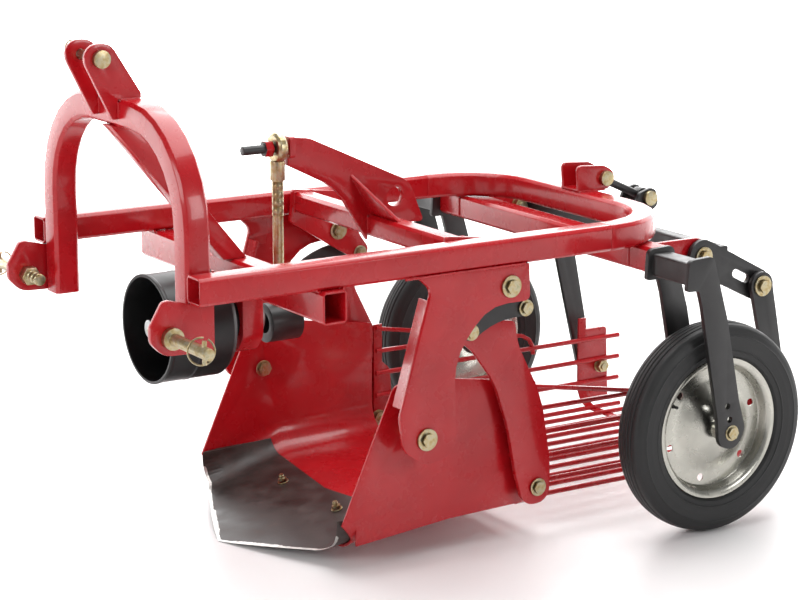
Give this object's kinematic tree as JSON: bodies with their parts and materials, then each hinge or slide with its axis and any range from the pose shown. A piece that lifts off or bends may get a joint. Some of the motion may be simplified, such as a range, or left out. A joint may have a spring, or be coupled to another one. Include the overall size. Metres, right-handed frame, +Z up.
{
  "type": "potato digger",
  "caption": "Tractor-mounted potato digger: a pointed share and trough shaken by the drive shaft feed a bar sieve, on a tube frame with two land wheels.",
  "frame": {"origin": "centre of the bounding box on the floor", "axes": "+Z up; the tractor is towards -Y, the sieve towards +Y; the machine's left side is +X"},
  "size_m": [1.0238, 1.462, 0.984],
  "materials": {
    "left_rail": "gloss red paint",
    "right_rail": "gloss red paint",
    "rear_bow": "gloss red paint",
    "front_crossbar": "gloss red paint",
    "rear_crossbeam": "gloss red paint",
    "strut_left": "gloss red paint",
    "strut_right": "gloss red paint",
    "pivot_bolt_left": "yellow zinc plate",
    "pivot_bolt_right": "yellow zinc plate",
    "hinge_bolt_left": "yellow zinc plate",
    "hinge_bolt_right": "yellow zinc plate",
    "hitch_arch": "gloss red paint",
    "mast_lug_left": "gloss red paint",
    "mast_lug_right": "gloss red paint",
    "mast_pin": "yellow zinc plate",
    "mast_brace": "gloss red paint",
    "lower_bracket_left": "gloss red paint",
    "lower_bracket_right": "gloss red paint",
    "lower_pin_left": "yellow zinc plate",
    "lower_pin_right": "yellow zinc plate",
    "pto_hanger": "gloss red paint",
    "pto_guard": "moulded",
    "rear_bracket_left": "gloss red paint",
    "rear_bracket_right": "gloss red paint",
    "depth_frame": "satin black paint",
    "rear_lugs": "gloss red paint",
    "turnbuckle": "yellow zinc plate",
    "wheel_fork_left": "satin black paint",
    "wheel_fork_right": "satin black paint",
    "axle_left": "yellow zinc plate",
    "axle_right": "yellow zinc plate",
    "pto_shaft": "turned",
    "rocker_tube": "gloss red paint",
    "rocker_lever": "gloss red paint",
    "rocker_plate_left": "gloss red paint",
    "rocker_plate_right": "gloss red paint",
    "link_bolt_left": "yellow zinc plate",
    "link_bolt_right": "yellow zinc plate",
    "connecting_rod": "yellow zinc plate",
    "link_plate_left": "satin black paint",
    "link_plate_right": "satin black paint",
    "trough": "gloss red paint",
    "trough_arm_left": "gloss red paint",
    "trough_arm_right": "gloss red paint",
    "trough_pin_left": "yellow zinc plate",
    "trough_pin_right": "yellow zinc plate",
    "share": "scoured wear plate",
    "sieve_grate": "gloss red paint",
    "hanger_left": "satin black paint",
    "hanger_right": "satin black paint",
    "tyre_left": "ribbed rubber",
    "rim_left": "zinc-plated pressing",
    "tyre_right": "ribbed rubber",
    "rim_right": "zinc-plated pressing"
  },
  "bodies": {
    "frame": {"left_rail": "left_rail", "right_rail": "right_rail", "rear_bow": "rear_bow", "front_crossbar": "front_crossbar", "rear_crossbeam": "rear_crossbeam", "strut_left": "strut_left", "strut_right": "strut_right", "pivot_bolt_left": "pivot_bolt_left", "pivot_bolt_right": "pivot_bolt_right", "hinge_bolt_left": "hinge_bolt_left", "hinge_bolt_right": "hinge_bolt_right", "hitch_arch": "hitch_arch", "mast_lug_left": "mast_lug_left", "mast_lug_right": "mast_lug_right", "mast_pin": "mast_pin", "mast_brace": "mast_brace", "lower_bracket_left": "lower_bracket_left", "lower_bracket_right": "lower_bracket_right", "lower_pin_left": "lower_pin_left", "lower_pin_right": "lower_pin_right", "pto_hanger": "pto_hanger", "pto_guard": "pto_guard", "rear_bracket_left": "rear_bracket_left", "rear_bracket_right": "rear_bracket_right", "depth_frame": "depth_frame", "rear_lugs": "rear_lugs", "turnbuckle": "turnbuckle", "wheel_fork_left": "wheel_fork_left", "wheel_fork_right": "wheel_fork_right", "axle_left": "axle_left", "axle_right": "axle_right"},
    "drive_shaft": {"pto_shaft": "pto_shaft"},
    "rocker": {"rocker_tube": "rocker_tube", "rocker_lever": "rocker_lever", "rocker_plate_left": "rocker_plate_left", "rocker_plate_right": "rocker_plate_right", "link_bolt_left": "link_bolt_left", "link_bolt_right": "link_bolt_right"},
    "rod": {"connecting_rod": "connecting_rod"},
    "link_left": {"link_plate_left": "link_plate_left"},
    "link_right": {"link_plate_right": "link_plate_right"},
    "trough": {"trough": "trough", "trough_arm_left": "trough_arm_left", "trough_arm_right": "trough_arm_right", "trough_pin_left": "trough_pin_left", "trough_pin_right": "trough_pin_right", "share": "share"},
    "sieve": {"sieve_grate": "sieve_grate"},
    "hanger_left": {"hanger_left": "hanger_left"},
    "hanger_right": {"hanger_right": "hanger_right"},
    "wheel_left": {"tyre_left": "tyre_left", "rim_left": "rim_left"},
    "wheel_right": {"tyre_right": "tyre_right", "rim_right": "rim_right"}
  },
  "joints": [
    {"name": "drive_shaft_turn", "type": "hinge", "parent": "frame", "child": "drive_shaft", "pos_m": [0, -0.414, 0.44], "axis": [0, 1, 0], "continuous": true},
    {"name": "rocker_swing", "type": "hinge", "parent": "frame", "child": "rocker", "pos_m": [0, -0.003, 0.518], "axis": [1, 0, 0], "range_deg": [-7.6, 0]},
    {"name": "rod_swing", "type": "hinge", "parent": "rocker", "child": "rod", "pos_m": [0, -0.303, 0.757], "axis": [1, 0, 0], "range_deg": [-0.5, 2.5]},
    {"name": "link_swing_left", "type": "hinge", "parent": "rocker", "child": "link_left", "pos_m": [0.311, 0.05, 0.465], "axis": [1, 0, 0], "range_deg": [-0.5, 2.5]},
    {"name": "link_swing_right", "type": "hinge", "parent": "rocker", "child": "link_right", "pos_m": [-0.311, 0.05, 0.465], "axis": [1, 0, 0], "range_deg": [-0.5, 2.5]},
    {"name": "trough_swing", "type": "hinge", "parent": "frame", "child": "trough", "pos_m": [0, -0.189, 0.25], "axis": [1, 0, 0], "range_deg": [-0.5, 4]},
    {"name": "sieve_swing", "type": "hinge", "parent": "trough", "child": "sieve", "pos_m": [0, 0.093, 0.101], "axis": [1, 0, 0], "range_deg": [-5.5, 0.5]},
    {"name": "hanger_swing_left", "type": "hinge", "parent": "frame", "child": "hanger_left", "pos_m": [0.336, 0.611, 0.445], "axis": [1, 0, 0], "range_deg": [-0.5, 2.5]},
    {"name": "hanger_swing_right", "type": "hinge", "parent": "frame", "child": "hanger_right", "pos_m": [-0.336, 0.611, 0.445], "axis": [1, 0, 0], "range_deg": [-0.5, 2.5]},
    {"name": "wheel_turn_left", "type": "hinge", "parent": "frame", "child": "wheel_left", "pos_m": [0.4386, 0.409, 0.2086], "axis": [1, 0, 0], "continuous": true},
    {"name": "wheel_turn_right", "type": "hinge", "parent": "frame", "child": "wheel_right", "pos_m": [-0.4386, 0.409, 0.2086], "axis": [1, 0, 0], "continuous": true}
  ],
  "couplings": [
    {"joint": "rod_swing", "follows": "rocker_swing", "ratio": -0.2327},
    {"joint": "link_swing_left", "follows": "rocker_swing", "ratio": -0.2393},
    {"joint": "link_swing_right", "follows": "rocker_swing", "ratio": -0.2393},
    {"joint": "trough_swing", "follows": "rocker_swing", "ratio": -0.4082},
    {"joint": "sieve_swing", "follows": "rocker_swing", "ratio": 0.5811},
    {"joint": "hanger_swing_left", "follows": "rocker_swing", "ratio": -0.2019},
    {"joint": "hanger_swing_right", "follows": "rocker_swing", "ratio": -0.2019}
  ]
}
